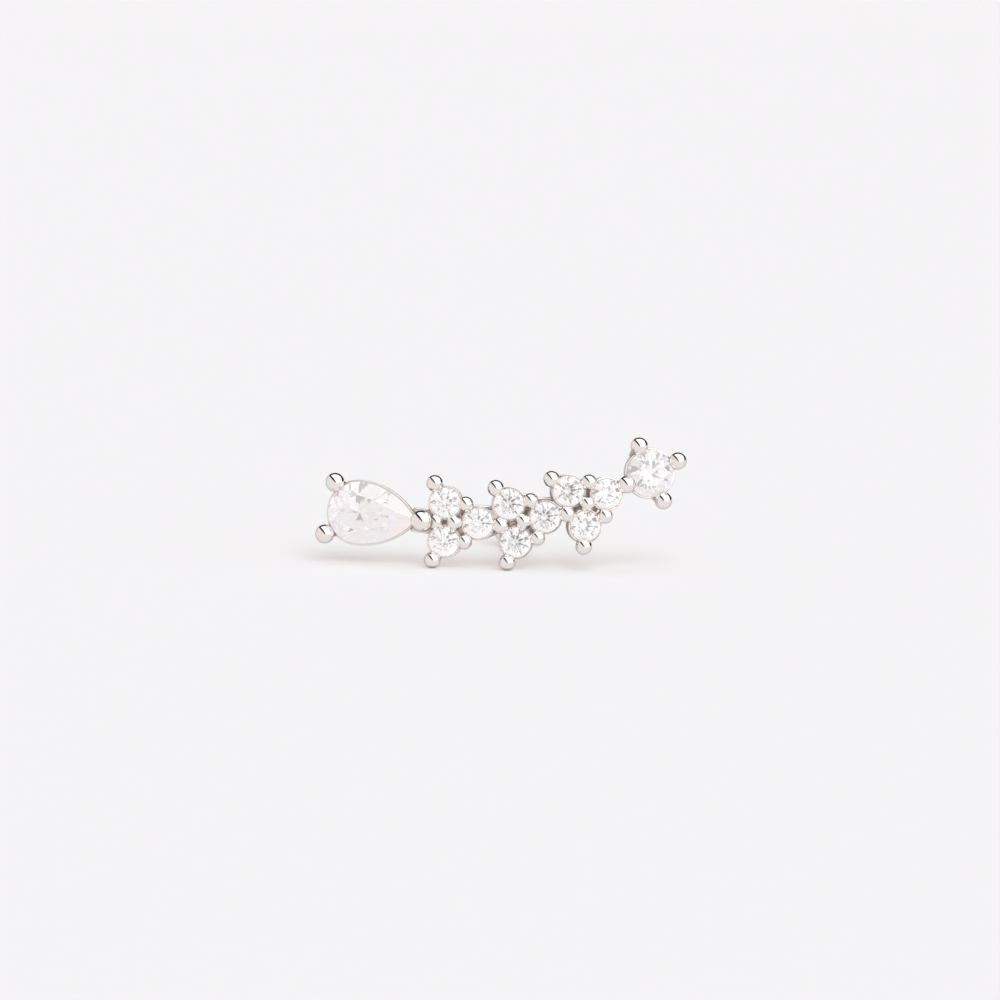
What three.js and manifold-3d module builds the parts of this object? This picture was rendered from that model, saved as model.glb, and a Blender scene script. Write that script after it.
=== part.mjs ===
// Flat back stud earring, ear climber style. A cast metal setting carries a pear stone,
// three trefoils of small round stones and one larger round stone. A straight post with
// a flat disc stands behind the middle trefoil.
//
// Units are millimetres and +Z is up. The earring rests as it does by itself on a table:
// on two prong balls in front and on the rim of the disc behind. The front faces -Y.
// The origin is on the table, under the middle of the bounding box.
//
// The front is laid out flat first, with u to the right, v up and n out of the face
// (n = 0 is the level of most ball centres), and is then bowed round a vertical axis.

import * as THREE from "three";
import { mergeVertices } from "three/addons/utils/BufferGeometryUtils.js";
import ManifoldModule from "manifold-3d";

const wasm = await ManifoldModule();
wasm.setup();

// ---- driving dimensions ----

const BOW_RADIUS = 35;
const STONE_GAP = 0.03;

// Corners nearer than this are one corner, and cuts leave no edge shorter than that.
const SAME_CORNER = 1e-4;
const SHORTEST_EDGE = 0.006;

// Round brilliants, as parts of their diameter or radius.
const CUT = {
  girdleSides: 16,
  table: 0.57,
  crownAngle: 34,
  pavilionAngle: 41,
  starReach: 0.5,
  lowerHalfReach: 0.77,
  girdleThickness: 0.025,
};

const SMALL_STONE = { diameter: 1.34, girdle: -0.15 };
const END_STONE = { diameter: 2.12, girdle: -0.1 };
const PEAR_STONE = { width: 2.75, length: 4.0, girdle: -0.1 };

// Each trefoil is a triangle of stones with a prong in its middle, a prong beyond each stone
// and a prong outside each side. Its prong at the angle of its turn is shared with the next.
// The inner prongs, the middle one and those at the sides, are centred on innerU. The outer
// ones are set by hand, so each has its own reach and swings a little from its stone's line.
const TREFOIL = {
  stoneReach: 1.0,
  outerFootReach: 1.85,
  sideReach: 0.97,
};
const TREFOILS = [
  { u: -2.03, v: 2.14, turn: -2, innerU: -2.09, reaches: [2.01, 1.99, 1.97], swings: [-1.6, 0, 0] },
  { u: 1.0, v: 2.2, turn: 10.3, innerU: 1.0, reaches: [1.99, 1.93, 1.98], swings: [-1, -0.4, -2] },
  { u: 3.87, v: 2.98, turn: 25.7, innerU: 3.87, reaches: [1.97, 1.95, 1.92], swings: [0, 0, -0.7] },
];
const FIRST_SIDE = { reach: 0.84, drop: 0.12 };

// A plate behind each trefoil's middle, which closes the space between its three collets.
const WEB = { radius: 0.64, top: -0.8, sides: 18 };

// A prong's leg is thinner than its ball by legShare.
const PRONG = { sides: 12, rows: 4, rowAngle: 30, legShare: 0.64, foot: -1.2 };
const BALL = { outer: 0.37, inner: 0.345, pearSide: 0.425, pearTip: 0.478, end: 0.39 };

// A collet's seat runs in from its lip to its bore, along the underside of the stone.
const COLLET = { sides: 16, radius: 0.775, lip: 0.06, bore: 0.56, top: -0.18, foot: -1.1 };
const BORE_FOOT = -1.15;

// The pear's round end is centred on (u, v), and its tip points along turn.
const PEAR = { u: -6.43, v: 2.58, turn: -7.2 };
const PEAR_PRONGS = [
  { angle: 134.5, reach: 1.71, level: 0.05, radius: BALL.pearSide, footReach: 1.1 },
  { angle: 219.5, reach: 1.785, level: 0.05, radius: BALL.pearSide, footReach: 1.12 },
  { angle: 0, reach: 2.907, level: 0.15, radius: BALL.pearTip, footReach: 2.08 },
];
const PEAR_RAILS = [
  { outward: 0.1, wall: 0.14, top: -0.2, foot: -0.5 },
  { outward: -0.3, wall: 0.24, top: -1.7, foot: -2.0 },
];
const PEAR_SIDES = 32;
const TIP_CAP = { length: 0.96, width: 1.1, top: -0.28, foot: -1.1 };

// The end stone's near prong, on side 2 of 0 to 3, is the last trefoil's outer one.
const END = {
  turn: 24.3,
  nearSide: 2,
  nearReach: 1.22,
  prongReach: 1.34,
  level: 0.08,
  footReach: 0.88,
  foot: -1.8,
};
const END_RAILS = [
  { radius: 1.15, wall: 0.11, top: -0.2, foot: -0.5 },
  { radius: 0.86, wall: 0.22, top: -1.5, foot: -1.8 },
];
const END_SIDES = 24;

// Short bars that tie one cluster to the next.
const BAR = { radius: 0.1, level: -0.5, sides: 8 };
const BARS = [
  { fromU: -1.45, fromV: 2.84, toU: -0.3, toV: 2.79 },
  { fromU: -0.74, fromV: 1.47, toU: -0.08, toV: 1.78 },
  { fromU: 1.4, fromV: 3.16, toU: 2.4, toV: 3.19 },
];
const TIP_BAR = { radius: 0.24, level: -0.75 };

// The boss is the setting's flat seat for the post, behind the middle trefoil.
const BOSS = { radius: 0.66, top: -0.95, foot: -1.4, sides: 18 };
const POST = { radius: 0.4, length: 6, sides: 40, edge: 0.05 };
const DISC = { radius: 1.25, thickness: 0.4, edge: 0.08 };

const SETTLING_PASSES = 4;

// ---- helpers ----

const radians = THREE.MathUtils.degToRad;

function polar(centre, angle, reach) {
  const turn = radians(angle);
  return { u: centre.u + reach * Math.cos(turn), v: centre.v + reach * Math.sin(turn) };
}

// The point of the bowed front for a point of the flat layout.
function bowed(u, v, n) {
  const turn = u / BOW_RADIUS;
  const radius = BOW_RADIUS + n;
  return new THREE.Vector3(radius * Math.sin(turn), v, radius * Math.cos(turn) - BOW_RADIUS);
}

function placeOnFace(geometry, u, v, n = 0, turn = 0) {
  geometry.rotateZ(radians(turn));
  geometry.rotateY(u / BOW_RADIUS);
  const place = bowed(u, v, n);
  return geometry.translate(place.x, place.y, place.z);
}

// A turned solid whose axis is n; each profile row is [radius, n], and the profile
// runs up the outside of the solid.
function turned(profile, sides) {
  const points = profile.map(([radius, n]) => new THREE.Vector2(radius, n));
  return new THREE.LatheGeometry(points, sides).rotateX(Math.PI / 2);
}

function toSolid(geometry) {
  const bare = geometry.clone();
  bare.deleteAttribute("normal");
  bare.deleteAttribute("uv");
  const merged = mergeVertices(bare, SAME_CORNER);
  const corners = merged.index.array;
  const kept = [];
  for (let i = 0; i < corners.length; i += 3) {
    const [a, b, c] = corners.slice(i, i + 3);
    if (a !== b && b !== c && c !== a) {
      kept.push(a, b, c);
    }
  }
  const mesh = new wasm.Mesh({
    numProp: 3,
    vertProperties: merged.attributes.position.array,
    triVerts: Uint32Array.from(kept),
  });
  return new wasm.Manifold(mesh);
}

// Joining and cutting leave some very short edges. Each is closed up by moving one of its
// ends onto the other, where the two ends have just two neighbours in common, so that the
// surface stays closed and simple. The corners of the faces that are left are returned.
function closeShortEdges(points, corners) {
  const faces = [];
  const around = points.map(() => new Set());
  for (let i = 0; i < corners.length; i += 3) {
    const face = corners.slice(i, i + 3);
    faces.push(face);
    face.forEach((point) => around[point].add(face));
  }
  const neighbours = (point) => {
    const found = new Set([...around[point]].flat());
    found.delete(point);
    return found;
  };
  const normal = (face) => {
    const [a, b, c] = face.map((point) => points[point]);
    return b.clone().sub(a).cross(c.clone().sub(a));
  };
  const turnsOver = (face, from, to) => {
    const moved = face.map((point) => (point === from ? to : point));
    return normal(face).dot(normal(moved)) < 0;
  };
  const closeEdge = (kept, dropped) => {
    const others = neighbours(kept);
    const shared = [...neighbours(dropped)].filter((point) => others.has(point));
    const moving = [...around[dropped]].filter((face) => !face.includes(kept));
    if (shared.length !== 2 || moving.some((face) => turnsOver(face, dropped, kept))) {
      return false;
    }
    for (const face of around[dropped]) {
      if (face.includes(kept)) {
        face.forEach((point) => point !== dropped && around[point].delete(face));
        face.length = 0;
      } else {
        face[face.indexOf(dropped)] = kept;
        around[kept].add(face);
      }
    }
    around[dropped].clear();
    return true;
  };
  let closed = true;
  while (closed) {
    closed = false;
    for (const face of faces) {
      for (let i = 0; i < face.length; i += 1) {
        const [start, end] = [face[i], face[(i + 1) % 3]];
        if (points[start].distanceTo(points[end]) < SHORTEST_EDGE) {
          closed = closeEdge(start, end) || closeEdge(end, start) || closed;
        }
      }
    }
  }
  return faces.flat();
}

function toGeometry(solid) {
  const mesh = solid.getMesh();
  const points = [];
  for (let i = 0; i < mesh.vertProperties.length; i += 3) {
    points.push(new THREE.Vector3().fromArray(mesh.vertProperties, i));
  }
  const corners = closeShortEdges(points, Array.from(mesh.triVerts));
  const geometry = new THREE.BufferGeometry();
  geometry.setFromPoints(corners.map((corner) => points[corner]));
  geometry.computeVertexNormals();
  return geometry;
}

function joined(geometries) {
  return geometries.map(toSolid).reduce((whole, solid) => whole.add(solid));
}

// ---- cut stones ----

function roundOutline(radius) {
  return () => radius;
}

// A half circle, with two arcs that run on from its ends and meet at the tip.
function pearOutline(width, length) {
  const radius = width / 2;
  const tip = length - radius;
  const offset = (tip * tip - radius * radius) / (2 * radius);
  const sideRadius = offset + radius;
  return (angle) => {
    if (Math.cos(angle) <= 0) {
      return radius;
    }
    const across = Math.abs(Math.sin(angle));
    const along = Math.cos(angle);
    return Math.sqrt(sideRadius ** 2 - (offset * along) ** 2) - offset * across;
  };
}

// A brilliant cut: table, eight stars, eight kites and sixteen halves over the girdle,
// sixteen halves and eight mains under it. The girdle's middle is at n = 0, and outline
// gives its radius for an angle.
function brilliant(outline, radius) {
  const step = (2 * Math.PI) / CUT.girdleSides;
  const halfGirdle = CUT.girdleThickness * radius;
  const crownSlope = Math.tan(radians(CUT.crownAngle));
  const pavilionSlope = Math.tan(radians(CUT.pavilionAngle));
  const tableEdge = CUT.table * Math.cos(step);
  const starReach = tableEdge + CUT.starReach * (1 - tableEdge);
  const lowerReach = 1 - CUT.lowerHalfReach;
  const crownHeight = (reach) => halfGirdle + radius * (1 - reach) * crownSlope;
  const pavilionDepth = (reach) => -halfGirdle - radius * (1 - reach) * pavilionSlope;
  const corner = (index, reach, n) => {
    const angle = index * step;
    const distance = outline(angle) * reach;
    return [distance * Math.cos(angle), distance * Math.sin(angle), n];
  };
  const positions = [];
  const face = (...corners) => {
    for (let i = 1; i + 1 < corners.length; i += 1) {
      positions.push(...corners[0], ...corners[i], ...corners[i + 1]);
    }
  };
  const tableCorner = (index) => corner(index, CUT.table, crownHeight(CUT.table));
  const starCorner = (index) => corner(index, starReach, crownHeight(starReach * Math.cos(step)));
  const girdleTop = (index) => corner(index, 1, halfGirdle);
  const girdleFoot = (index) => corner(index, 1, -halfGirdle);
  const lowerCorner = (index) => corner(index, lowerReach, pavilionDepth(lowerReach * Math.cos(step)));
  const culet = [0, 0, pavilionDepth(0)];
  const table = [];
  for (let main = 0; main < CUT.girdleSides; main += 2) {
    const next = main + 1;
    const last = main - 1;
    table.push(tableCorner(main));
    face(tableCorner(main), starCorner(next), tableCorner(main + 2));
    face(tableCorner(main), starCorner(last), girdleTop(main), starCorner(next));
    face(starCorner(next), girdleTop(main), girdleTop(next));
    face(starCorner(next), girdleTop(next), girdleTop(main + 2));
    face(girdleTop(main), girdleFoot(main), girdleFoot(next), girdleTop(next));
    face(girdleTop(next), girdleFoot(next), girdleFoot(main + 2), girdleTop(main + 2));
    face(lowerCorner(next), girdleFoot(next), girdleFoot(main));
    face(lowerCorner(next), girdleFoot(main + 2), girdleFoot(next));
    face(culet, lowerCorner(next), girdleFoot(main), lowerCorner(last));
  }
  face(...table);
  const geometry = new THREE.BufferGeometry();
  geometry.setAttribute("position", new THREE.Float32BufferAttribute(positions, 3));
  geometry.computeVertexNormals();
  return geometry;
}

function roundStone(diameter) {
  const radius = diameter / 2;
  return brilliant(roundOutline(radius), radius);
}

function pearStone() {
  const { width, length } = PEAR_STONE;
  return brilliant(pearOutline(width, length), width / 2);
}

// ---- parts of the setting ----

// A pin with a ball on it; the ball is centred on (u, v, n) and the pin ends at the foot.
function prong(ball, foot) {
  const top = bowed(ball.u, ball.v, ball.n);
  const bottom = bowed(foot.u, foot.v, foot.n);
  const axis = top.clone().sub(bottom);
  const legRadius = ball.radius * PRONG.legShare;
  const neck = -ball.radius * Math.sqrt(1 - PRONG.legShare ** 2);
  const profile = [[0, -axis.length()], [legRadius, -axis.length()], [legRadius, neck]];
  for (let row = PRONG.rows; row > 0; row -= 1) {
    const angle = radians(row * PRONG.rowAngle);
    profile.push([ball.radius * Math.sin(angle), ball.radius * Math.cos(angle)]);
  }
  profile.push([0, ball.radius]);
  const pin = turned(profile, PRONG.sides);
  const aim = new THREE.Quaternion();
  aim.setFromUnitVectors(new THREE.Vector3(0, 0, 1), axis.normalize());
  return pin.applyQuaternion(aim).translate(top.x, top.y, top.z);
}

function smallProng(place, footPlace, radius, n = 0) {
  return prong({ ...place, n, radius }, { ...footPlace, n: PRONG.foot });
}

function ring(radius, wall, top, foot, sides) {
  const inside = radius - wall;
  return turned([[radius, foot], [radius, top], [inside, top], [inside, foot], [radius, foot]], sides);
}

function drum(radius, top, foot, sides) {
  return turned([[0, foot], [radius, foot], [radius, top], [0, top]], sides);
}

// A cup with an open back, into which a small stone is set.
function collet(place) {
  const { radius, lip, bore, top, foot } = COLLET;
  const seatDepth = (radius - lip - bore) * Math.tan(radians(CUT.pavilionAngle));
  const profile = [
    [radius, foot],
    [radius, top],
    [radius - lip, top],
    [bore, top - seatDepth],
    [bore, foot],
    [radius, foot],
  ];
  return placeOnFace(turned(profile, COLLET.sides), place.u, place.v, 0, place.turn);
}

function bar(from, to, level, radius) {
  const start = bowed(from.u, from.v, level);
  const end = bowed(to.u, to.v, level);
  const axis = end.clone().sub(start);
  const rod = new THREE.CylinderGeometry(radius, radius, axis.length(), BAR.sides);
  const aim = new THREE.Quaternion();
  aim.setFromUnitVectors(new THREE.Vector3(0, 1, 0), axis.normalize());
  const middle = start.add(end).multiplyScalar(0.5);
  return rod.applyQuaternion(aim).translate(middle.x, middle.y, middle.z);
}

function pearLoop(outward) {
  const outline = pearOutline(PEAR_STONE.width, PEAR_STONE.length);
  const points = [];
  for (let i = 0; i < PEAR_SIDES; i += 1) {
    const angle = (2 * Math.PI * i) / PEAR_SIDES;
    const reach = outline(angle) + outward;
    points.push(new THREE.Vector2(reach * Math.cos(angle), reach * Math.sin(angle)));
  }
  return points;
}

function pearRail({ outward, wall, top, foot }) {
  const outline = new THREE.Shape(pearLoop(outward));
  outline.holes.push(new THREE.Path(pearLoop(outward - wall)));
  const rail = new THREE.ExtrudeGeometry(outline, { depth: top - foot, bevelEnabled: false });
  return placeOnFace(rail.translate(0, 0, foot), PEAR.u, PEAR.v, 0, PEAR.turn);
}

function pearBasket() {
  const parts = PEAR_RAILS.map(pearRail);
  const foot = PEAR_RAILS.at(-1).foot;
  for (const { angle, reach, level, radius, footReach } of PEAR_PRONGS) {
    const ball = polar(PEAR, PEAR.turn + angle, reach);
    const legFoot = polar(PEAR, PEAR.turn + angle, footReach);
    parts.push(prong({ ...ball, n: level, radius }, { ...legFoot, n: foot }));
  }
  const { length, width, top, foot: capFoot } = TIP_CAP;
  const cap = new THREE.BoxGeometry(length, width, top - capFoot);
  parts.push(placeOnFace(cap, pearTip.u, pearTip.v, (top + capFoot) / 2, PEAR.turn));
  return parts;
}

function endBasket() {
  const parts = END_RAILS.map(({ radius, wall, top, foot }) => {
    return placeOnFace(ring(radius, wall, top, foot, END_SIDES), endCentre.u, endCentre.v);
  });
  for (let side = 0; side < 4; side += 1) {
    const angle = END.turn + 90 * side;
    const ball = polar(endCentre, angle, side === END.nearSide ? END.nearReach : END.prongReach);
    const foot = polar(endCentre, angle, END.footReach);
    parts.push(prong({ ...ball, n: END.level, radius: BALL.end }, { ...foot, n: END.foot }));
  }
  return parts;
}

// Where the ball beyond one of a trefoil's stones is, for side 0 to 2.
function outerBall(trefoil, side) {
  const angle = trefoil.turn + 120 * side + trefoil.swings[side];
  return polar(trefoil, angle, trefoil.reaches[side]);
}

// The prongs of one trefoil. A prong that it shares with the cluster before it is not
// made again.
function trefoilProngs(trefoil, index) {
  const inner = { u: trefoil.innerU, v: trefoil.v };
  const parts = [smallProng(inner, inner, BALL.inner)];
  for (let side = 0; side < 3; side += 1) {
    const angle = trefoil.turn + 120 * side;
    const outer = outerBall(trefoil, side);
    const outerFoot = polar(trefoil, angle, TREFOIL.outerFootReach);
    parts.push(smallProng(outer, outerFoot, BALL.outer));
    if (side !== 1) {
      const between = polar(inner, angle + 60, TREFOIL.sideReach);
      parts.push(smallProng(between, between, BALL.inner));
    } else if (index === 0) {
      const between = polar(inner, angle + 60, FIRST_SIDE.reach);
      parts.push(smallProng(between, between, BALL.inner, -FIRST_SIDE.drop));
    }
  }
  return parts;
}

function web(trefoil) {
  const plate = drum(WEB.radius, WEB.top, COLLET.foot, WEB.sides);
  return placeOnFace(plate, trefoil.u, trefoil.v);
}

// The open back of a collet, cut through whatever metal reaches into it.
function openBack(place) {
  const core = drum(COLLET.bore, COLLET.top, BORE_FOOT, COLLET.sides);
  return placeOnFace(core, place.u, place.v, 0, place.turn);
}

function bossSolid() {
  const boss = drum(BOSS.radius, BOSS.top, BOSS.foot, BOSS.sides);
  return placeOnFace(boss, postPlace.u, postPlace.v);
}

// The post and its disc, one piece. The profile starts at the disc's flat outer face.
function flatBackPost() {
  const discInner = postTop - POST.length;
  const discOuter = discInner - DISC.thickness;
  const profile = [
    [0, discOuter],
    [DISC.radius - DISC.edge, discOuter],
    [DISC.radius, discOuter + DISC.edge],
    [DISC.radius, discInner - DISC.edge],
    [DISC.radius - DISC.edge, discInner],
    [POST.radius, discInner],
    [POST.radius, postTop - POST.edge],
    [POST.radius - POST.edge, postTop],
    [0, postTop],
  ];
  return placeOnFace(turned(profile, POST.sides), postPlace.u, postPlace.v);
}

// ---- layout ----

const lastTrefoil = TREFOILS.at(-1);
const sharedProng = outerBall(lastTrefoil, 0);
const endCentre = polar(sharedProng, END.turn, END.nearReach);
const pearTip = polar(PEAR, PEAR.turn, PEAR_PRONGS.at(-1).reach);
const postPlace = { u: TREFOILS[1].u, v: TREFOILS[1].v };
const postTop = BOSS.foot - STONE_GAP;

const smallStones = [];
for (const trefoil of TREFOILS) {
  for (let side = 1; side <= 3; side += 1) {
    const angle = trefoil.turn + 120 * side;
    smallStones.push({ ...polar(trefoil, angle, TREFOIL.stoneReach), turn: angle });
  }
}

// Every stone with its place on the face and the half width that its seat is scaled by.
const stones = smallStones.map(({ u, v, turn }, index) => ({
  name: `small_stone_${index + 1}`,
  make: () => roundStone(SMALL_STONE.diameter),
  size: SMALL_STONE.diameter,
  girdle: SMALL_STONE.girdle,
  u,
  v,
  turn,
}));
stones.push({
  name: "pear_stone",
  make: pearStone,
  size: PEAR_STONE.width,
  girdle: PEAR_STONE.girdle,
  ...PEAR,
});
stones.push({
  name: "end_stone",
  make: () => roundStone(END_STONE.diameter),
  size: END_STONE.diameter,
  girdle: END_STONE.girdle,
  ...endCentre,
  turn: END.turn,
});

function setStone({ make, u, v, girdle, turn }, scale = 1) {
  return placeOnFace(make().scale(scale, scale, scale), u, v, girdle, turn);
}

// ---- the setting: everything metal joined, then opened for the stones ----

function settingSolid() {
  const parts = [...pearBasket(), ...endBasket(), bossSolid()];
  TREFOILS.forEach((trefoil, index) => parts.push(...trefoilProngs(trefoil, index)));
  parts.push(...smallStones.map(collet));
  parts.push(...TREFOILS.map(web));
  for (const { fromU, fromV, toU, toV } of BARS) {
    parts.push(bar({ u: fromU, v: fromV }, { u: toU, v: toV }, BAR.level, BAR.radius));
  }
  parts.push(bar(pearTip, smallStones[0], TIP_BAR.level, TIP_BAR.radius));
  parts.push(bar(pearTip, smallStones[1], TIP_BAR.level, TIP_BAR.radius));
  const seats = stones.map((stone) => setStone(stone, 1 + (2 * STONE_GAP) / stone.size));
  const openings = [...seats, ...smallStones.map(openBack)];
  return openings.reduce((metal, opening) => metal.subtract(toSolid(opening)), joined(parts));
}

// ---- the assembly ----

const METAL = { color: 0xd3d3d6, roughness: 0.12, metalness: 1 };
const STONE = { color: 0xf3f6f9, roughness: 0.02, metalness: 0 };

const face = new THREE.Group();

function addPiece(name, geometry, finish) {
  const mesh = new THREE.Mesh(geometry, new THREE.MeshStandardMaterial(finish));
  mesh.name = name;
  face.add(mesh);
}

addPiece("setting", toGeometry(settingSolid()), METAL);
stones.forEach((stone) => addPiece(stone.name, setStone(stone), STONE));
addPiece("flat_back_post", flatBackPost(), METAL);

// ---- resting pose ----

// The two balls that stand on the table, and the middle of the disc's outer rim.
const frontBalls = [
  outerBall(TREFOILS[0], 2),
  outerBall(TREFOILS[1], 2),
].map(({ u, v }) => bowed(u, v, 0));
const discRim = bowed(postPlace.u, postPlace.v, postTop - POST.length - DISC.thickness + DISC.edge);

// The turn in the face's own plane that brings both balls level at a given lean.
function levelTurn(lean) {
  const rise = frontBalls[1].y - frontBalls[0].y + (frontBalls[1].z - frontBalls[0].z) * Math.tan(lean);
  return -Math.atan2(rise, frontBalls[1].x - frontBalls[0].x);
}

// The lean that puts the balls and the disc's rim on one plane, for a given turn.
function restingLean(turn) {
  const axis = new THREE.Vector3(0, 0, 1);
  const ball = frontBalls[1].clone().applyAxisAngle(axis, turn);
  const disc = discRim.clone().applyAxisAngle(axis, turn);
  const drop = ball.y - disc.y + DISC.radius;
  const depth = ball.z - disc.z;
  return Math.atan2(depth, drop) - Math.acos(BALL.outer / Math.hypot(depth, drop));
}

let turn = 0;
let lean = 0;
for (let pass = 0; pass < SETTLING_PASSES; pass += 1) {
  turn = levelTurn(lean);
  lean = restingLean(turn);
}

face.rotation.z = turn;
const upright = new THREE.Group();
upright.rotation.x = Math.PI / 2 - lean;
upright.add(face);

const earring = new THREE.Group();
earring.add(upright);
earring.updateMatrixWorld(true);
const box = new THREE.Box3().setFromObject(earring, true);
const middle = box.getCenter(new THREE.Vector3());
upright.position.set(-middle.x, -middle.y, -box.min.z);

export default earring;
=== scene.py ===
"""Looks of the flat back stud earring: a cast setting in polished white metal, eleven clear
cut stones and a turned post with its disc, on a pale floor in soft studio light.

The finer setting, stones and post stand for the CAD nodes of the same sizes. They are laid
out in millimetres on the flat front, with u to the right, v up and n out of the front, then
bowed, leaned back and moved to where the CAD model rests.
"""

import math

import bmesh
import bpy
from mathutils import Matrix, Vector


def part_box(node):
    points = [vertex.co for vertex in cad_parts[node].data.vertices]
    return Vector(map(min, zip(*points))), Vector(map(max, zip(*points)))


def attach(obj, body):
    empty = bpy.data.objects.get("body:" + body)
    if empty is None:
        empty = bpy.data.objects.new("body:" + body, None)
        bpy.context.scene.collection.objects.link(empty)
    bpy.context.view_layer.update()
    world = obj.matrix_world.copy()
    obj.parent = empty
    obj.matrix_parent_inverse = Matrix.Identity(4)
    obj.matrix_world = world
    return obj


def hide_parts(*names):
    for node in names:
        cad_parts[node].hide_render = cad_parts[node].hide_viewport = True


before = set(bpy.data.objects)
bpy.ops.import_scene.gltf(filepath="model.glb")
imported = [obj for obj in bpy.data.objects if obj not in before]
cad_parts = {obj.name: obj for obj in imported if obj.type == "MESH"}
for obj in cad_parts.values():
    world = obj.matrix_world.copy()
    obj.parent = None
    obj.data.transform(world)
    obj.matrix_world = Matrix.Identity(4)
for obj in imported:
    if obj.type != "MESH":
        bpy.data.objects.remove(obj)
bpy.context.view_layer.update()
scene = bpy.context.scene

# ---- sizes of the part, in millimetres and degrees ----

MM = 0.001
THIRD, QUARTER = 120, 90
BOW_RADIUS = 35

# What is left free between the boss and the post, and between a stone and its seat.
POST_GAP = 0.03
SEAT_GAP = 0.008

# The brilliant cut: how many mains it has, the angles of its two sides, and as shares the
# table, the stars, the lower halves and the thickness of the girdle.
CUT = {
    "mains": 8,
    "crown": 34,
    "pavilion": 41,
    "table": 0.57,
    "star": 0.5,
    "lower": 0.77,
    "girdle": 0.05,
}

SMALL_STONE = {"diameter": 1.34, "girdle": -0.15}
END_STONE = {"diameter": 2.12, "girdle": -0.1}
PEAR_STONE = {"width": 2.75, "length": 4.0, "girdle": -0.1}

# Distances from a trefoil's middle: its stones, the feet of its outer prongs, and the balls
# between its stones. Each trefoil then gives its middle, the place of its inner ball, and how
# far out and how far round its three outer balls stand.
TREFOIL = {"stone": 1.0, "outer_foot": 1.85, "side": 0.97}
TREFOILS = [
    {
        "u": -2.03,
        "v": 2.14,
        "turn": -2,
        "inner_u": -2.09,
        "reaches": (2.01, 1.99, 1.97),
        "swings": (-1.6, 0, 0),
    },
    {
        "u": 1.0,
        "v": 2.2,
        "turn": 10.3,
        "inner_u": 1.0,
        "reaches": (1.99, 1.93, 1.98),
        "swings": (-1, -0.4, -2),
    },
    {
        "u": 3.87,
        "v": 2.98,
        "turn": 25.7,
        "inner_u": 3.87,
        "reaches": (1.97, 1.95, 1.92),
        "swings": (0, 0, -0.7),
    },
]
FIRST_SIDE = {"reach": 0.84, "drop": 0.12}
WEB = {"radius": 0.64, "top": -0.8}

# A leg's radius is leg, as a share of its ball's. neck is the radius of the hollow between
# the two, and foot_edge the chamfer at the foot.
PRONG = {"sides": 40, "leg": 0.64, "foot": -1.2, "neck": 0.07, "foot_edge": 0.03, "steps": 18}
BALL = {"outer": 0.37, "inner": 0.345, "pear_side": 0.425, "pear_tip": 0.478, "end": 0.39}

# A collet's lip is as thick as lip says, and bore is the radius of its open back.
COLLET = {"radius": 0.775, "lip": 0.06, "bore": 0.56, "top": -0.18, "foot": -1.1, "edge": 0.028}
BORE_FOOT = -1.15

# Angles and reaches are taken from the pear's middle and its long axis. foot is how far out
# the prong's foot stands, and outward how far a rail's outside is from the pear's outline.
PEAR = {"u": -6.43, "v": 2.58, "turn": -7.2}
PEAR_PRONGS = [
    {"angle": 134.5, "reach": 1.71, "level": 0.05, "ball": "pear_side", "foot": 1.1},
    {"angle": 219.5, "reach": 1.785, "level": 0.05, "ball": "pear_side", "foot": 1.12},
    {"angle": 0, "reach": 2.907, "level": 0.15, "ball": "pear_tip", "foot": 2.08},
]
PEAR_RAILS = [
    {"outward": 0.1, "wall": 0.14, "top": -0.2, "foot": -0.5},
    {"outward": -0.3, "wall": 0.24, "top": -1.7, "foot": -2.0},
]
TIP_CAP = {"length": 0.96, "width": 1.1, "top": -0.28, "foot": -1.1, "edge": 0.07}

# The end stone's prong on near_side is the ball that it shares with the third trefoil.
END = {
    "turn": 24.3,
    "near_side": 2,
    "near_reach": 1.22,
    "reach": 1.34,
    "level": 0.08,
    "foot_reach": 0.88,
    "foot": -1.8,
}
END_RAILS = [
    {"radius": 1.15, "wall": 0.11, "top": -0.2, "foot": -0.5},
    {"radius": 0.86, "wall": 0.22, "top": -1.5, "foot": -1.8},
]

# Two thick bars carry the pear's tip, and thin ones join the clusters. A bar's edges are
# rounded by a share of its radius.
BAR = {"radius": 0.1, "level": -0.5}
BAR_EDGE = 0.25
BARS = [
    ((-1.45, 2.84), (-0.3, 2.79)),
    ((-0.74, 1.47), (-0.08, 1.78)),
    ((1.4, 3.16), (2.4, 3.19)),
]
TIP_BAR = {"radius": 0.24, "level": -0.75}

BOSS = {"radius": 0.66, "top": -0.95, "foot": -1.4}
POST = {"radius": 0.4, "length": 6, "edge": 0.05}
DISC = {"radius": 1.25, "thickness": 0.4, "edge": 0.08}

RAIL_EDGE = 0.04

# ---- fineness of the meshes ----

# Sides and steps, angles in degrees, and tolerances in millimetres. TANGENT_STEP is a share
# of the angle between two girdle points of a stone.
OUTLINE_STEPS = 96
TURNED_SIDES = 64
BAR_SIDES = 20
ROUND_STEPS = 5
ROUND_PROFILE = 0.5
SHARP_ANGLE = 32
FLAT_ANGLE = 0.5
NEARLY_ZERO = 1e-9
WELD = 1e-6
STONE_WELD = 1e-5
CUT_TOLERANCE = 1e-7
TANGENT_STEP = 0.02
SETTLING_PASSES = 4

# ---- layout on the front ----


def polar(centre, angle, reach):
    turn = math.radians(angle)
    return {"u": centre["u"] + reach * math.cos(turn), "v": centre["v"] + reach * math.sin(turn)}


def bowed(place, n=0):
    turn = place["u"] / BOW_RADIUS
    radius = BOW_RADIUS + n
    return Vector((radius * math.sin(turn), place["v"], radius * math.cos(turn) - BOW_RADIUS))


def on_face(place, n=0, turn=0):
    """The place of a solid whose own axis is n."""
    bow = Matrix.Rotation(place["u"] / BOW_RADIUS, 4, "Y")
    return Matrix.Translation(bowed(place, n)) @ bow @ Matrix.Rotation(math.radians(turn), 4, "Z")


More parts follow.
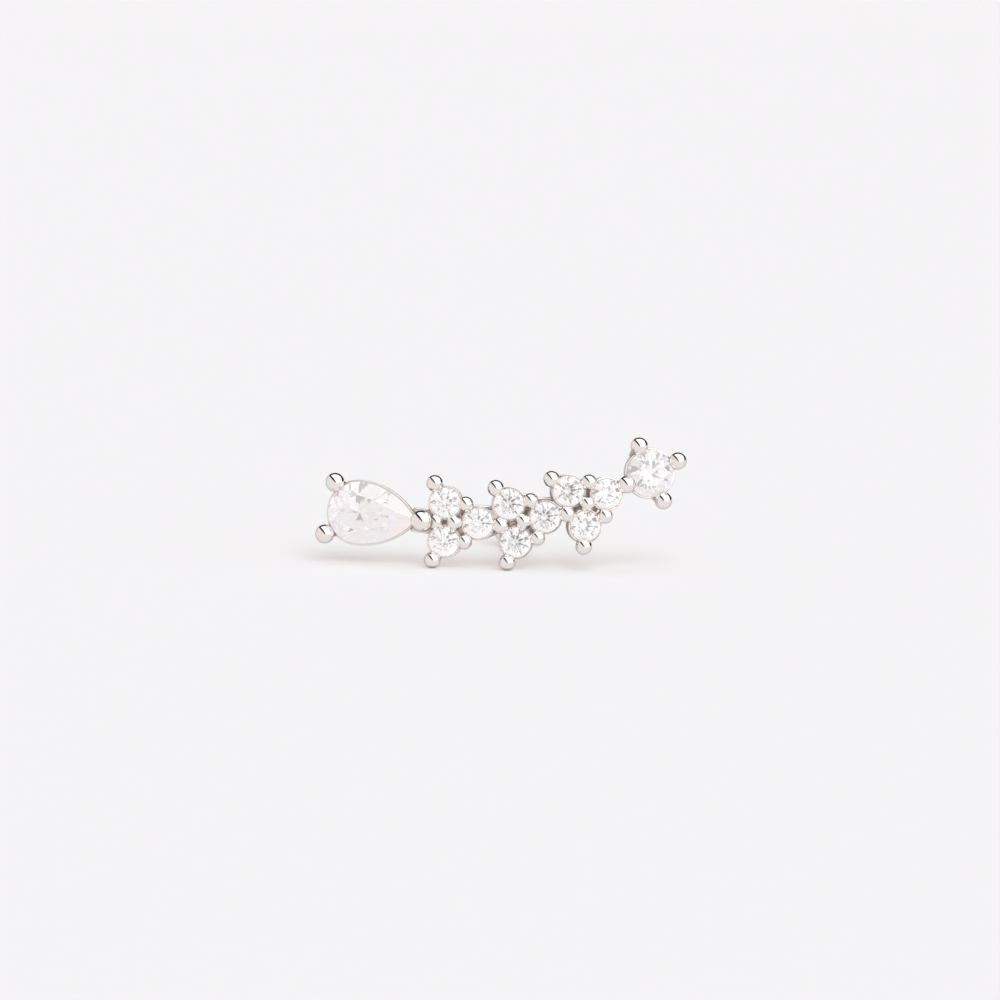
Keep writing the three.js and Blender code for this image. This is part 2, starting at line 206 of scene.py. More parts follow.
def outer_ball(trefoil, side):
    angle = trefoil["turn"] + THIRD * side + trefoil["swings"][side]
    return polar(trefoil, angle, trefoil["reaches"][side])


end_centre = polar(outer_ball(TREFOILS[-1], 0), END["turn"], END["near_reach"])
pear_tip = polar(PEAR, PEAR["turn"], PEAR_PRONGS[-1]["reach"])
post_place = {"u": TREFOILS[1]["u"], "v": TREFOILS[1]["v"]}
post_top = BOSS["foot"] - POST_GAP
disc_outer = post_top - POST["length"] - DISC["thickness"]

small_stones = []
for trefoil in TREFOILS:
    for side in range(1, 4):
        angle = trefoil["turn"] + THIRD * side
        small_stones.append({**polar(trefoil, angle, TREFOIL["stone"]), "turn": angle})

# ---- resting pose: two front balls and the rim of the disc on the floor ----


def rest_rotation():
    balls = [bowed(outer_ball(trefoil, 2)) for trefoil in TREFOILS[:2]]
    rim = bowed(post_place, disc_outer + DISC["edge"])
    turn = lean = 0
    for _ in range(SETTLING_PASSES):
        step = balls[1] - balls[0]
        turn = -math.atan2(step.y + step.z * math.tan(lean), step.x)
        ball, disc = (Matrix.Rotation(turn, 3, "Z") @ point for point in (balls[1], rim))
        drop = ball.y - disc.y + DISC["radius"]
        depth = ball.z - disc.z
        lean = math.atan2(depth, drop) - math.acos(BALL["outer"] / math.hypot(depth, drop))
    return Matrix.Rotation(math.pi / 2 - lean, 4, "X") @ Matrix.Rotation(turn, 4, "Z")


# ---- making solids ----


def rounded(rows):
    """The points of a profile. Each row is (radius, n, corner radius), or has no third number
    for a sharp corner. A profile whose first and last rows are alike is a closed loop."""
    loop = rows[0] == rows[-1]
    if loop:
        rows = rows[:-1]
    points = [Vector(row[:2]) for row in rows]
    made = []
    for i, (point, row) in enumerate(zip(points, rows)):
        corner = row[2] if len(row) > 2 else 0
        if corner == 0:
            made.append(point)
            continue
        before = (point - points[i - 1]).normalized()
        after = (points[(i + 1) % len(points)] - point).normalized()
        bend = before.angle(after)
        reach = corner * math.tan(bend / 2)
        start, end = point - before * reach, point + after * reach
        centre = point + (after - before).normalized() * corner / math.cos(bend / 2)
        for step in range(ROUND_STEPS + 1):
            arm = (start - centre).slerp(end - centre, step / ROUND_STEPS)
            made.append(centre + arm.normalized() * corner)
    return made + made[:1] if loop else made


def around(angle, radius, n):
    return Vector((radius * math.cos(angle), radius * math.sin(angle), n))


def even_angles(count):
    return [2 * math.pi * step / count for step in range(count)]


def lathe(profile, sides):
    """A turned solid round the axis n; the profile runs up its outside."""
    mesh = bmesh.new()
    rings = []
    for radius, n in profile:
        if radius < NEARLY_ZERO:
            rings.append([mesh.verts.new((0, 0, n))] * sides)
        else:
            angles = even_angles(sides)
            rings.append([mesh.verts.new(around(angle, radius, n)) for angle in angles])
    stitch(mesh, rings)
    return mesh


def stitch(mesh, rings):
    """Faces from each ring of points to the next. A ring that is one point makes a fan."""
    sides = len(rings[0])
    for low, high in zip(rings, rings[1:]):
        for side in range(sides):
            other = (side + 1) % sides
            corners = []
            for vert in (low[side], low[other], high[other], high[side]):
                if vert not in corners:
                    corners.append(vert)
            mesh.faces.new(corners)
    bmesh.ops.remove_doubles(mesh, verts=mesh.verts, dist=WELD)


def pear_outline(width, length):
    """A half circle, with two arcs that run on from its ends and meet at the tip."""
    radius = width / 2
    tip = length - radius
    offset = (tip * tip - radius * radius) / (2 * radius)
    side_radius = offset + radius

    def reach(angle):
        along, across = math.cos(angle), abs(math.sin(angle))
        if along <= 0:
            return radius
        return math.sqrt(side_radius**2 - (offset * along) ** 2) - offset * across

    return reach


def round_outline(radius):
    return lambda angle: radius


def pointed(start, axis):
    """The move that stands a solid made along n on start, along axis."""
    aim = Vector((0, 0, 1)).rotation_difference(axis)
    return Matrix.Translation(start) @ aim.to_matrix().to_4x4()


def prong(place, level, radius, foot_place, foot):
    """A pin with a ball on it, with a soft neck between the two."""
    top, bottom = bowed(place, level), bowed(foot_place, foot)
    axis = top - bottom
    length = axis.length
    leg = radius * PRONG["leg"]
    neck, edge = PRONG["neck"], PRONG["foot_edge"]
    neck_height = -math.sqrt((radius + neck) ** 2 - (leg + neck) ** 2)
    profile = [(0, -length), (leg - edge, -length), (leg, edge - length)]
    opening = math.atan2(-neck_height, leg + neck)
    for step in range(ROUND_STEPS + 1):
        angle = opening * step / ROUND_STEPS
        profile.append((leg + neck - neck * math.cos(angle), neck_height + neck * math.sin(angle)))
    for step in range(1, PRONG["steps"] + 1):
        angle = -opening + (math.pi / 2 + opening) * step / PRONG["steps"]
        profile.append((radius * math.cos(angle), radius * math.sin(angle)))
    mesh = lathe(profile, PRONG["sides"])
    mesh.transform(pointed(top, axis))
    return mesh


def wall_profile(outside, wall, top, foot):
    """The closed profile of a rail with rounded edges."""
    inside = outside - wall
    corners = [(outside, foot), (outside, top), (inside, top), (inside, foot), (outside, foot)]
    return rounded([(*corner, RAIL_EDGE) for corner in corners])


def ring(radius, wall, top, foot):
    return lathe(wall_profile(radius, wall, top, foot), TURNED_SIDES)


def drum(radius, top, foot):
    rows = [(0, foot), (radius, foot, RAIL_EDGE), (radius, top, RAIL_EDGE), (0, top)]
    return lathe(rounded(rows), TURNED_SIDES)


def collet(place):
    """A cup with an open back, into which a small stone is set."""
    radius, lip, bore = COLLET["radius"], COLLET["lip"], COLLET["bore"]
    top, foot, edge = COLLET["top"], COLLET["foot"], COLLET["edge"]
    seat = (radius - lip - bore) * math.tan(math.radians(CUT["pavilion"]))
    rows = [(radius, foot, edge), (radius, top, edge), (radius - lip, top, edge)]
    rows += [(bore, top - seat, edge), (bore, foot, edge)]
    mesh = lathe(rounded(rows + rows[:1]), TURNED_SIDES)
    mesh.transform(on_face(place))
    return mesh


def bar(start_place, end_place, level, radius):
    start, end = bowed(start_place, level), bowed(end_place, level)
    axis = end - start
    edge = radius * BAR_EDGE
    rows = [(0, 0), (radius, 0, edge), (radius, axis.length, edge), (0, axis.length)]
    mesh = lathe(rounded(rows), BAR_SIDES)
    mesh.transform(pointed(start, axis))
    return mesh


def tip_cap():
    """The block behind the pear's tip prong, with rounded edges."""
    mesh = bmesh.new()
    bmesh.ops.create_cube(mesh, size=1)
    depth = TIP_CAP["top"] - TIP_CAP["foot"]
    bmesh.ops.scale(mesh, vec=(TIP_CAP["length"], TIP_CAP["width"], depth), verts=mesh.verts)
    bmesh.ops.bevel(
        mesh,
        geom=mesh.edges[:],
        offset=TIP_CAP["edge"],
        segments=ROUND_STEPS,
        profile=ROUND_PROFILE,
        affect="EDGES",
    )
    mesh.transform(on_face(pear_tip, TIP_CAP["top"] - depth / 2, PEAR["turn"]))
    return mesh


def pear_rail(outward, wall, top, foot):
    """A rail that follows the pear's outline; outward is from the outline to its outside."""
    reach = pear_outline(PEAR_STONE["width"], PEAR_STONE["length"])
    mesh = bmesh.new()
    loops = []
    for offset, n in wall_profile(outward, wall, top, foot):
        points = [around(angle, reach(angle) + offset, n) for angle in even_angles(OUTLINE_STEPS)]
        loops.append([mesh.verts.new(point) for point in points])
    stitch(mesh, loops)
    mesh.transform(on_face(PEAR, 0, PEAR["turn"]))
    return mesh


# ---- cut stones ----


def cut_stone(reach, radius):
    """A brilliant cut. Every facet is a plane cut across a prism of the stone's outline, so
    the girdle stays smooth. reach gives the outline's radius for an angle. An index counts
    half mains round the stone, and way is 1 for the crown and -1 for the pavilion."""
    step = math.pi / CUT["mains"]
    half = CUT["girdle"] * radius / 2
    angles = {1: CUT["crown"], -1: CUT["pavilion"]}
    slopes = {way: math.tan(math.radians(angle)) for way, angle in angles.items()}

    def girdle(index, way):
        angle = index * step
        return around(angle, reach(angle), half * way)

    def apex(way):
        return Vector((0, 0, way * (half + radius * slopes[way])))

    def main_plane(index, way):
        """The normal of the plane along the outline at index, and through the apex."""
        ahead, behind = girdle(index + TANGENT_STEP, way), girdle(index - TANGENT_STEP, way)
        return (apex(way) - girdle(index, way)).cross(ahead - behind).normalized() * -way

    def ridge(index, way, share):
        """A point where two mains meet; share runs from the apex, 0, to the girdle, 1."""
        line = main_plane(index - 1, way).cross(main_plane(index + 1, way)).normalized()
        if line.z * way > 0:
            line = -line
        edge = girdle(index, way)
        distance = math.hypot(edge.x, edge.y) * share / math.hypot(line.x, line.y)
        return apex(way) + line * distance

    mesh = bmesh.new()
    crown_top, culet = apex(1).z, apex(-1).z
    loops = []
    for level in (culet, crown_top):
        points = [around(angle, reach(angle), level) for angle in even_angles(OUTLINE_STEPS)]
        loops.append([mesh.verts.new(point) for point in points])
    low, high = loops
    for turn in range(OUTLINE_STEPS):
        other = (turn + 1) % OUTLINE_STEPS
        mesh.faces.new((low[turn], low[other], high[other], high[turn]))
    mesh.faces.new(high)
    mesh.faces.new(low[::-1])

    def cut(point, normal):
        """Take off what lies outside a plane, and close the stone with a facet."""
        made = bmesh.ops.bisect_plane(
            mesh,
            geom=mesh.verts[:] + mesh.edges[:] + mesh.faces[:],
            dist=CUT_TOLERANCE,
            plane_co=point,
            plane_no=-normal if normal.dot(point) < 0 else normal,
            clear_outer=True,
        )
        edges = [item for item in made["geom_cut"] if isinstance(item, bmesh.types.BMEdge)]
        if len(edges) > 2:
            bmesh.ops.contextual_create(mesh, geom=edges)

    def cut_through(first, second, third):
        cut(first, (second - first).cross(third - first).normalized())

    table_height = half + radius * (1 - CUT["table"]) * slopes[1]
    table_share = (crown_top - table_height) / (crown_top - half)
    star_share = table_share + CUT["star"] * (1 - table_share)
    for index in range(0, 2 * CUT["mains"], 2):
        for way in (1, -1):
            cut(girdle(index, way), main_plane(index, way))
    cut(Vector((0, 0, table_height)), Vector((0, 0, 1)))
    for index in range(1, 2 * CUT["mains"], 2):
        star = ridge(index, 1, star_share)
        lower = ridge(index, -1, 1 - CUT["lower"])
        corners = [apex(1).lerp(girdle(side, 1), table_share) for side in (index - 1, index + 1)]
        cut_through(star, *corners)
        for side in (index - 1, index + 1):
            cut_through(star, girdle(side, 1), girdle(index, 1))
            cut_through(lower, girdle(side, -1), girdle(index, -1))
    bmesh.ops.remove_doubles(mesh, verts=mesh.verts, dist=STONE_WELD)
    bmesh.ops.holes_fill(mesh, edges=[edge for edge in mesh.edges if edge.is_boundary])
    flat = math.radians(FLAT_ANGLE)
    bmesh.ops.dissolve_limit(mesh, angle_limit=flat, verts=mesh.verts, edges=mesh.edges)
    bmesh.ops.recalc_face_normals(mesh, faces=mesh.faces)
    return mesh


# ---- objects ----


def add_object(name, mesh):
    data = bpy.data.meshes.new(name)
    mesh.to_mesh(data)
    mesh.free()
    made = bpy.data.objects.new(name, data)
    scene.collection.objects.link(made)
    return made


def combined(whole, tools, operation):
    """whole with every tool joined to it or cut from it; the tools are used up."""
    for tool in tools:
        step = whole.modifiers.new(tool.name, "BOOLEAN")
        step.solver = "MANIFOLD"
        step.operation = operation
        step.object = tool
    evaluated = whole.evaluated_get(bpy.context.evaluated_depsgraph_get())
    result = bpy.data.meshes.new_from_object(evaluated)
    whole.modifiers.clear()
    whole.data = result
    for tool in tools:
        bpy.data.objects.remove(tool)
    return whole


def trefoil_prongs(trefoil):
    """The balls in the middle, outside and between the stones. The one at the left, between
    the stones of side 1 and side 2, stands closer in and lower in the first trefoil. In the
    others it is missing, because the trefoil before has its outer ball there."""
    inner = {"u": trefoil["inner_u"], "v": trefoil["v"]}
    parts = [prong(inner, 0, BALL["inner"], inner, PRONG["foot"])]
    for side in range(3):
        angle = trefoil["turn"] + THIRD * side
        outer = outer_ball(trefoil, side)
        outer_foot = polar(trefoil, angle, TREFOIL["outer_foot"])
        parts.append(prong(outer, 0, BALL["outer"], outer_foot, PRONG["foot"]))
        at_left = side == 1
        if at_left and trefoil is not TREFOILS[0]:
            continue
        reach = FIRST_SIDE["reach"] if at_left else TREFOIL["side"]
        level = -FIRST_SIDE["drop"] if at_left else 0
        between = polar(inner, angle + THIRD / 2, reach)
        parts.append(prong(between, level, BALL["inner"], between, PRONG["foot"]))
    return parts


def setting_parts():
    parts = []
    for trefoil in TREFOILS:
        parts += trefoil_prongs(trefoil)
        web = drum(WEB["radius"], WEB["top"], COLLET["foot"])
        web.transform(on_face(trefoil))
        parts.append(web)
    parts += [collet(stone) for stone in small_stones]
    for row in PEAR_PRONGS:
        ball = polar(PEAR, PEAR["turn"] + row["angle"], row["reach"])
        foot = polar(PEAR, PEAR["turn"] + row["angle"], row["foot"])
        parts.append(prong(ball, row["level"], BALL[row["ball"]], foot, PEAR_RAILS[-1]["foot"]))
    parts += [pear_rail(**row) for row in PEAR_RAILS]
    parts.append(tip_cap())
    for row in END_RAILS:
        rail = ring(**row)
        rail.transform(on_face(end_centre))
        parts.append(rail)
    for side in range(4):
        angle = END["turn"] + QUARTER * side
        reach = END["near_reach"] if side == END["near_side"] else END["reach"]
        ball = polar(end_centre, angle, reach)
        foot = polar(end_centre, angle, END["foot_reach"])
        parts.append(prong(ball, END["level"], BALL["end"], foot, END["foot"]))
    for start, end in BARS:
        places = [{"u": u, "v": v} for u, v in (start, end)]
        parts.append(bar(*places, BAR["level"], BAR["radius"]))
    for stone in small_stones[:2]:
        parts.append(bar(pear_tip, stone, TIP_BAR["level"], TIP_BAR["radius"]))
    boss = drum(**BOSS)
    boss.transform(on_face(post_place))
    parts.append(boss)
    return parts


def post_mesh():
    radius, edge = POST["radius"], POST["edge"]
    wide, disc_edge = DISC["radius"], DISC["edge"]
    disc_inner = disc_outer + DISC["thickness"]
    rows = [
        (0, disc_outer),
        (wide, disc_outer, disc_edge),
        (wide, disc_inner, disc_edge),
        (radius, disc_inner, edge),
        (radius, post_top, edge),
        (0, post_top),
    ]
    mesh = lathe(rounded(rows), TURNED_SIDES)
    mesh.transform(on_face(post_place))
    return mesh


def stone_rows():
    """Every stone's node, outline, radius, girdle level, place and turn."""
    rows = []
    radius, level = SMALL_STONE["diameter"] / 2, SMALL_STONE["girdle"]
    for index, place in enumerate(small_stones):
        name = f"small_stone_{index + 1}"
        rows.append((name, round_outline(radius), radius, level, place, place["turn"]))
    width, level = PEAR_STONE["width"], PEAR_STONE["girdle"]
    outline = pear_outline(width, PEAR_STONE["length"])
    rows.append(("pear_stone", outline, width / 2, level, PEAR, PEAR["turn"]))
    radius, level = END_STONE["diameter"] / 2, END_STONE["girdle"]
    rows.append(("end_stone", round_outline(radius), radius, level, end_centre, END["turn"]))
    return rows


def bore(place):
    """The opening through the back of a small stone's collet."""
    radius, top = COLLET["bore"], COLLET["top"]
    core = lathe([(0, BORE_FOOT), (radius, BORE_FOOT), (radius, top), (0, top)], TURNED_SIDES)
    core.transform(on_face(place))
    return core


def middle(low, high):
    return (low + high) / 2


rotation = rest_rotation()
post = add_object("post_and_disc", post_mesh())
post.data.transform(Matrix.Scale(MM, 4) @ rotation)
own = [v.co for v in post.data.vertices]
own_low = Vector([min(co[i] for co in own) for i in range(3)])
own_high = Vector([max(co[i] for co in own) for i in range(3)])
shift = middle(*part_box("flat_back_post")) - middle(own_low, own_high)
post.data.transform(Matrix.Translation(shift))
to_frame = Matrix.Translation(shift) @ Matrix.Scale(MM, 4) @ rotation

parts = [add_object(f"part_{index}", mesh) for index, mesh in enumerate(setting_parts())]
setting = combined(parts[0], parts[1:], "UNION")
setting.name = "prong_setting"

stones = []
seats = []
for name, reach, radius, level, place, turn in stone_rows():
    seat_scale = 1 + SEAT_GAP / radius
    spot = on_face(place, level, turn)
    mesh = cut_stone(reach, radius)
    seat = mesh.copy()
    seat.transform(spot @ Matrix.Scale(seat_scale, 4))
    seats.append(add_object(f"seat_{name}", seat))
    mesh.transform(to_frame @ spot)
    stone = add_object(f"cut_{name}", mesh)
    stones.append(stone)
    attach(stone, "root")
    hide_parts(name)
seats += [add_object("bore", bore(place)) for place in small_stones]
setting = combined(setting, seats, "DIFFERENCE")
setting.data.transform(to_frame)

for made in (setting, post):
    made.data.shade_smooth()
    made.data.set_sharp_from_angle(angle=math.radians(SHARP_ANGLE))
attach(setting, "root")
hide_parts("setting")
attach(post, "root")
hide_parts("flat_back_post")

# ---- node trees ----


class Graph:
    """The nodes of a material or of the sky, and short ways to add to them. A value is a
    number, a colour or a socket that gives one."""

    def __init__(self, owner):
        owner.use_nodes = True
        self.nodes, self.links = owner.node_tree.nodes, owner.node_tree.links

    def feed(self, socket, value):
        if isinstance(value, bpy.types.NodeSocket):
            self.links.new(value, socket)
        else:
            socket.default_value = (*value, 1) if isinstance(value, tuple) else value

    def calculated(self, operation, *values):
        made = self.nodes.new("ShaderNodeMath")
        made.operation = operation
        for socket, value in zip(made.inputs, values):
            self.feed(socket, value)
        return made.outputs["Value"]

    def ranged(self, value, low, high, bottom=0, top=1):
        """A straight way from bottom, where value is low, to top, where it is high."""
        made = self.nodes.new("ShaderNodeMapRange")
        names = ("Value", "From Min", "From Max", "To Min", "To Max")
        for name, number in zip(names, (value, low, high, bottom, top)):
            self.feed(made.inputs[name], number)
        return made.outputs["Result"]

    def stepped(self, value, low, high):
        """A soft step from 0, where value is low, to 1, where it is high."""
        result = self.ranged(value, low, high)
        result.node.interpolation_type = "SMOOTHSTEP"
        return result

    def blended(self, share, below, above):
        """The colour below, at share 0, to the colour above, at share 1."""
        made = self.nodes.new("ShaderNodeMix")
        made.data_type = "RGBA"
        for name, value in (("Factor", share), ("A", below), ("B", above)):
            self.feed(made.inputs[name], value)
        return made.outputs["Result"]

    def noise(self, place, scale, detail):
        made = self.nodes.new("ShaderNodeTexNoise")
        for name, value in (("Vector", place), ("Scale", scale), ("Detail", detail)):
            self.feed(made.inputs[name], value)
        return made.outputs["Fac"]

    def vectors(self, operation, first, second):
        made = self.nodes.new("ShaderNodeVectorMath")
        made.operation = operation
        self.feed(made.inputs[0], first)
        self.feed(made.inputs[1], second)
        return made.outputs

    def coordinates(self, kind):
        return self.nodes.new("ShaderNodeTexCoord").outputs[kind]

    def bounced(self, times):
        """1 for light that has been mirrored this many times or more. The depth is a whole
        number, so the threshold lies half below it."""
        depth = self.nodes.new("ShaderNodeLightPath").outputs["Glossy Depth"]
        return self.calculated("GREATER_THAN", depth, times - 0.5)

    def through_stone(self):
        """1 for light that comes through a stone."""
        return self.nodes.new("ShaderNodeLightPath").outputs["Is Transmission Ray"]


def material(name):
    made = bpy.data.materials.new(name)
    graph = Graph(made)
    return made, graph, graph.nodes["Principled BSDF"].inputs


# ---- metal ----

WHITE_METAL = {"colour": (0.875, 0.832, 0.80), "roughness": 0.012}
POST_METAL = {"colour": (0.74, 0.73, 0.72), "roughness": 0.05}
EDGE_TINT = (0.45, 0.43, 0.41)
WEAR = {"scale": 1500, "detail": 3, "low": 0.35, "high": 0.7, "rougher": 2, "darker": 0.97}
HAND_POLISH = {"scale": 2200, "detail": 1, "depth": 0.002}
LATHE_RINGS = {"scale": 2500, "distortion": 0.4, "depth": 0.0002}

# Painted shade: gaps are darkened where the metal hems itself in widely, and where anything,
# a stone too, or the floor, is close beside it. A dim painted glow keeps them from going
# black. low and high are the shares of open view between which that ends.
GAP_SHADE_AND_GLOW = {"colour": (0.30, 0.27, 0.25), "glow": (0.24, 0.21, 0.195), "strength": 0.5}
WIDE_GAP = {"distance": 0.6, "own_only": True, "low": 0.32, "high": 0.95}
CLOSE_GAP = {"distance": 0.25, "own_only": False, "low": 0.2, "high": 0.85}
OCCLUSION_SAMPLES = 8

# The renderer follows light through four mirror bounces. From the fourth one on, the metal
# glows with painted light that stands for what the renderer drops.
LAST_BOUNCE = 4


def openness(graph, distance, own_only, low, high):
    recess = graph.nodes.new("ShaderNodeAmbientOcclusion")
    recess.samples = OCCLUSION_SAMPLES
    recess.only_local = own_only
    graph.feed(recess.inputs["Distance"], distance * MM)
    return graph.stepped(recess.outputs["AO"], low, high)


def lathe_rings(graph, place, centre):
    rings = graph.nodes.new("ShaderNodeTexWave")
    rings.wave_type = "RINGS"
    rings.rings_direction = "SPHERICAL"
    graph.feed(rings.inputs["Scale"], LATHE_RINGS["scale"])
    graph.feed(rings.inputs["Distortion"], LATHE_RINGS["distortion"])
    graph.feed(rings.inputs["Vector"], graph.vectors("SUBTRACT", place, centre)["Vector"])
    return rings.outputs["Fac"]


def metal(name, colour, roughness, turned_at=None):
    """Polished metal with painted shade in narrow gaps and a dim painted glow there,
    with the slight waves of hand polishing or, if turned_at is the middle of a turned piece,
    with the fine rings of the lathe."""
    made, graph, shader = material(name)
    place = graph.coordinates("Object")
    wear = graph.noise(place, WEAR["scale"], WEAR["detail"])
    rough = graph.ranged(wear, WEAR["low"], WEAR["high"], roughness, roughness * WEAR["rougher"])
    graph.feed(shader["Roughness"], rough)

    bump = graph.nodes.new("ShaderNodeBump")
    if turned_at is None:
        height = graph.noise(place, HAND_POLISH["scale"], HAND_POLISH["detail"])
        depth = HAND_POLISH["depth"]
    else:
        height = lathe_rings(graph, place, turned_at)
        depth = LATHE_RINGS["depth"]
    graph.feed(bump.inputs["Height"], height)
    graph.feed(bump.inputs["Distance"], depth * MM)
    graph.feed(shader["Normal"], bump.outputs["Normal"])

    # Painted shade: hemmed-in metal takes the dark gap colour, except where seen through a stone.
    wide, close = openness(graph, **WIDE_GAP), openness(graph, **CLOSE_GAP)
    open_view = graph.calculated("MINIMUM", wide, close)
    open_view = graph.calculated("MAXIMUM", open_view, graph.through_stone())
    darker = tuple(WEAR["darker"] * part for part in colour)
    shine = graph.blended(wear, darker, colour)
    graph.feed(shader["Base Color"], graph.blended(open_view, GAP_SHADE_AND_GLOW["colour"], shine))
    # Painted light: hemmed-in metal glows dimly, and all metal glows from the last bounce on.
    hidden = graph.calculated("SUBTRACT", 1, open_view)
    deep = graph.calculated("MULTIPLY", hidden, GAP_SHADE_AND_GLOW["strength"])
    glow = graph.calculated("MAXIMUM", deep, graph.bounced(LAST_BOUNCE))
    graph.feed(shader["Emission Color"], GAP_SHADE_AND_GLOW["glow"])
    graph.feed(shader["Emission Strength"], glow)
    graph.feed(shader["Metallic"], 1)
    graph.feed(shader["Specular Tint"], EDGE_TINT)
    return made


setting.data.materials.clear()
setting.data.materials.append(metal("white_metal", **WHITE_METAL))
disc_middle = to_frame @ bowed(post_place, disc_outer)
post.data.materials.append(metal("post_metal", **POST_METAL, turned_at=disc_middle))

# ---- crystal ----

CRYSTAL_IOR = 2.15
# Painted light: lift and glow are how strongly the stones glow after the first and the third turn.
FIRST_TURN, THIRD_TURN = 1, 3
SMALL_CRYSTAL = {
    "colour": (0.95, 0.925, 0.92),
    "lift": 0,
    "glow": 0.5,
    "glow_tints": ((1, 0.98, 0.97), (0.96, 0.98, 1)),
}
LARGE_CRYSTAL = {
    "colour": (0.668, 0.66, 0.665),
    "lift": 0.14,
    "glow": 0.15,
    "glow_tints": ((1, 0.83, 0.82), (0.86, 0.9, 1)),
    "glow_sparks": (1, 0.96, 0.8),
}
# Painted fire: the patches and specks of colour in the stones' painted glow.
GLOW_TINTS = {"scale": 900, "detail": 1, "low": 0.4, "high": 0.6}
GLOW_SPARKS = {"scale": 1700, "detail": 1, "low": 0.55, "high": 0.66}


def patches(graph, place, scale, detail, low, high):
    return graph.ranged(graph.noise(place, scale, detail), low, high)


def clear_stone(name, colour, lift, glow, glow_tints, glow_sparks=None):
    """Clear crystal with painted light: the stone glows a little, by lift, once light has turned
    inside it, and more, by glow, from the third turn on. The glow is painted in the colours that
    the facets split light into, two colours in patches with specks of a third."""
    made, graph, shader = material(name)
    place = graph.coordinates("Object")
    graph.feed(shader["Base Color"], colour)
    graph.feed(shader["Roughness"], 0)
    graph.feed(shader["IOR"], CRYSTAL_IOR)
    graph.feed(shader["Transmission Weight"], 1)
    tint = graph.blended(patches(graph, place, **GLOW_TINTS), *glow_tints)
    if glow_sparks:
        tint = graph.blended(patches(graph, place, **GLOW_SPARKS), tint, glow_sparks)
    graph.feed(shader["Emission Color"], tint)
    lifted = graph.calculated("MULTIPLY", graph.bounced(FIRST_TURN), lift)
    often = graph.bounced(THIRD_TURN)
    strength = graph.calculated("MULTIPLY_ADD", often, glow, lifted)
    graph.feed(shader["Emission Strength"], strength)
    return made


small_crystal = clear_stone("small_crystal", **SMALL_CRYSTAL)
large_crystal = clear_stone("large_crystal", **LARGE_CRYSTAL)
for stone in stones:
    is_small = stone.name.startswith("cut_small")
    stone.data.materials.append(small_crystal if is_small else large_crystal)

# ---- floor ----

FLOOR = {"radius": 2.5, "sides": 128, "roughness": 0.9, "specular": 0.1}
FIBRES = {"scale": 900, "detail": 4}
# Painted light: the cool paper colours and the warm glow balance to a neutral white where the
# floor is lit, and leave warm shadows.
PAPER = ((0.217, 0.256, 0.286), (0.225, 0.264, 0.294))
PAPER_GLOW = (0.555, 0.478, 0.44)


def floor():
    """A wide sheet of pale paper with painted light: it glows a little, so that its shadows stay
    soft, and the warm glow over its cool colour makes them warm.
    """
    mesh = bmesh.new()
    bmesh.ops.create_circle(mesh, cap_ends=True, segments=FLOOR["sides"], radius=FLOOR["radius"])
    made = add_object("floor", mesh)
    surface, graph, shader = material("pale_paper")
    fibres = graph.noise(graph.coordinates("Object"), FIBRES["scale"], FIBRES["detail"])
    graph.feed(shader["Base Color"], graph.blended(fibres, *PAPER))
    graph.feed(shader["Roughness"], FLOOR["roughness"])
    graph.feed(shader["Specular IOR Level"], FLOOR["specular"])
    graph.feed(shader["Emission Color"], PAPER_GLOW)
    graph.feed(shader["Emission Strength"], 1)
    made.data.materials.append(surface)


floor()

# ---- camera ----

# frame is the width of what the picture shows, in metres at the target, and u and v are the
# target's place on the front.
CAMERA = {
    "distance": 0.3,
    "elevation": 7.6,
    "azimuth": -0.5,
    "frame": 0.04464,
    "u": -0.045,
    "v": 3.15,
    "sensor": 36,
    "near": 0.01,
    "far": 20,
}


def camera():
    """The camera at the photograph's angle, its upright side along the front's own v."""
    data = bpy.data.cameras.new("camera")
    made = bpy.data.objects.new("camera", data)
    scene.collection.objects.link(made)
    scene.camera = made
    data.sensor_width = CAMERA["sensor"]
    data.lens = data.sensor_width * CAMERA["distance"] / CAMERA["frame"]
    data.clip_start, data.clip_end = CAMERA["near"], CAMERA["far"]
    target = to_frame @ bowed(CAMERA)
    elevation, azimuth = math.radians(CAMERA["elevation"]), math.radians(CAMERA["azimuth"])
    back = Vector((
        math.sin(azimuth) * math.cos(elevation),
        -math.cos(azimuth) * math.cos(elevation),
        math.sin(elevation),
    ))
    up = (rotation @ Vector((0, 1, 0))).normalized()
    right = up.cross(back).normalized()
    up = back.cross(right)
    axes = Matrix((right, up, back)).transposed().to_4x4()
    made.matrix_world = Matrix.Translation(target + back * CAMERA["distance"]) @ axes


camera()

# ---- light ----

# A broad soft light in front and to the right, which only the floor takes, so that the
# earring's shadow is as soft as it would be from a whole window.
FRONT_LIGHT = {"energy": 3.0, "elevation": 42, "azimuth": 13, "spread": 45}


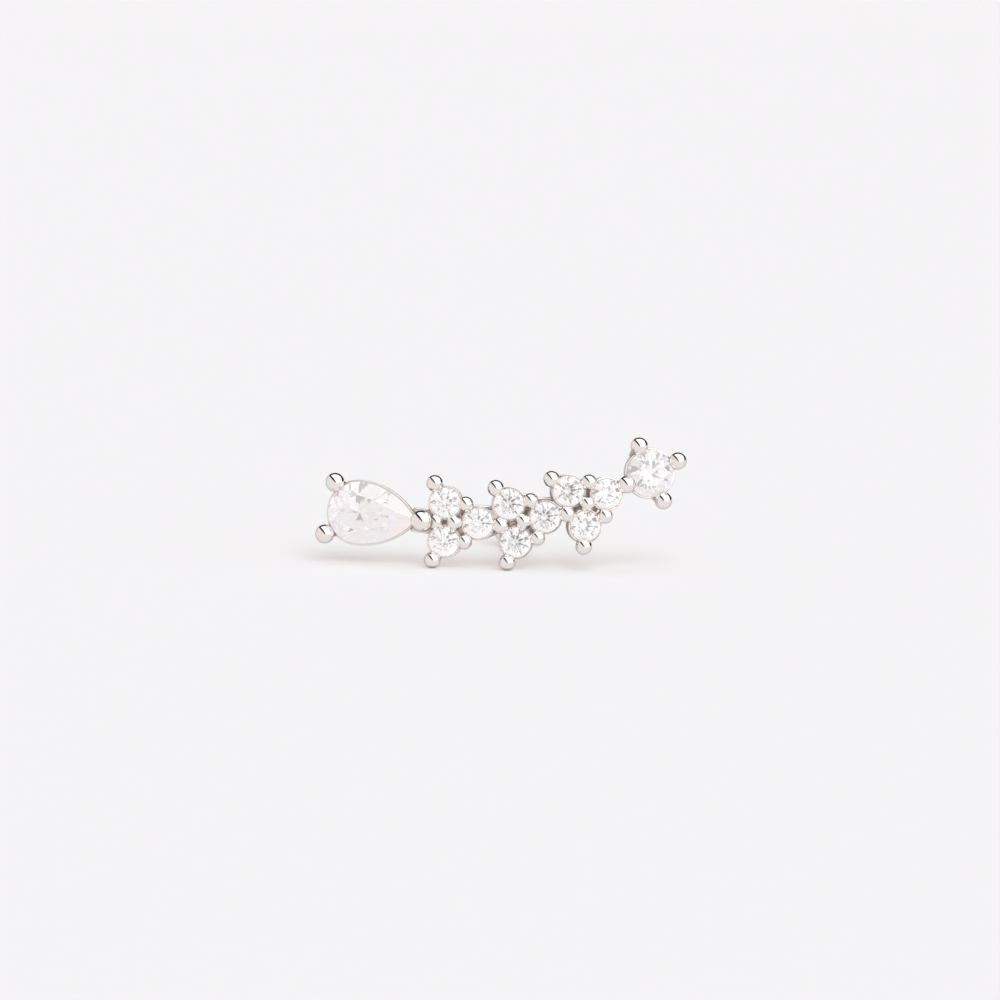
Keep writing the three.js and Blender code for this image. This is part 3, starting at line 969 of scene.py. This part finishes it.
def front_light():
    data = bpy.data.lights.new("front_light", "SUN")
    data.energy = FRONT_LIGHT["energy"]
    data.angle = math.radians(FRONT_LIGHT["spread"])
    made = bpy.data.objects.new("front_light", data)
    tilt = math.radians(QUARTER - FRONT_LIGHT["elevation"])
    made.rotation_euler = (tilt, 0, math.radians(FRONT_LIGHT["azimuth"]))
    made.visible_glossy = False
    made.visible_transmission = False
    scene.collection.objects.link(made)


front_light()

# The studio is a procedural sky. A large white softbox stands in front, at the upper right,
# and ends at the far right. Pale walls stand to the left and far behind, the floor's white
# runs on below the horizon, and the dark gaps that are left draw the outlines of the polished
# metal. Light that comes through a stone finds a dimmer softbox and a lighter gap.
SOFTBOX, SOFTBOX_THROUGH = (1.62, 1.64, 1.67), (1.16, 1.15, 1.17)
GAP, GAP_THROUGH = (0.03, 0.03, 0.035), (0.27, 0.26, 0.27)
WALL = (0.93, 0.905, 0.885)
FLOOR_WHITE = (0.921, 0.905, 0.913)

# Each region of the sky is what lies within a cone round a direction, given as seen from the
# front: to the right, up and towards the viewer. The last number is the cosine of the cone's
# half angle.
SKY = {
    "left wall": ((-0.713, -0.697, 0.075), 0),
    "in front": ((0, 0, 1), -0.45),
    "right of the gap": ((0.861, 0.437, -0.26), 0),
    "left of the far right": ((-0.481, 0.3, 0.824), -0.481),
    "behind": ((0, 0, -1), 0.94),
    "below the horizon": ((0, -1, 0), -0.05),
}
SKY_SOFTNESS = 0.01


def studio():
    world = bpy.data.worlds.new("studio")
    scene.world = world
    graph = Graph(world)
    direction = graph.coordinates("Generated")

    def within(region):
        (right, up, near), cosine = SKY[region]
        axis = Vector((right, -near, up)).normalized()
        nearness = graph.vectors("DOT_PRODUCT", direction, axis)["Value"]
        return graph.stepped(nearness, cosine - SKY_SOFTNESS, cosine + SKY_SOFTNESS)

    box = graph.calculated("MULTIPLY", within("in front"), within("right of the gap"))
    box = graph.calculated("MULTIPLY", box, within("left of the far right"))
    through = graph.through_stone()
    sky = graph.blended(through, GAP, GAP_THROUGH)
    sky = graph.blended(within("left wall"), sky, WALL)
    sky = graph.blended(box, sky, graph.blended(through, SOFTBOX, SOFTBOX_THROUGH))
    sky = graph.blended(within("behind"), sky, FLOOR_WHITE)
    sky = graph.blended(within("below the horizon"), sky, FLOOR_WHITE)
    graph.feed(graph.nodes["Background"].inputs["Color"], sky)


studio()
scene.view_settings.view_transform = "Standard"
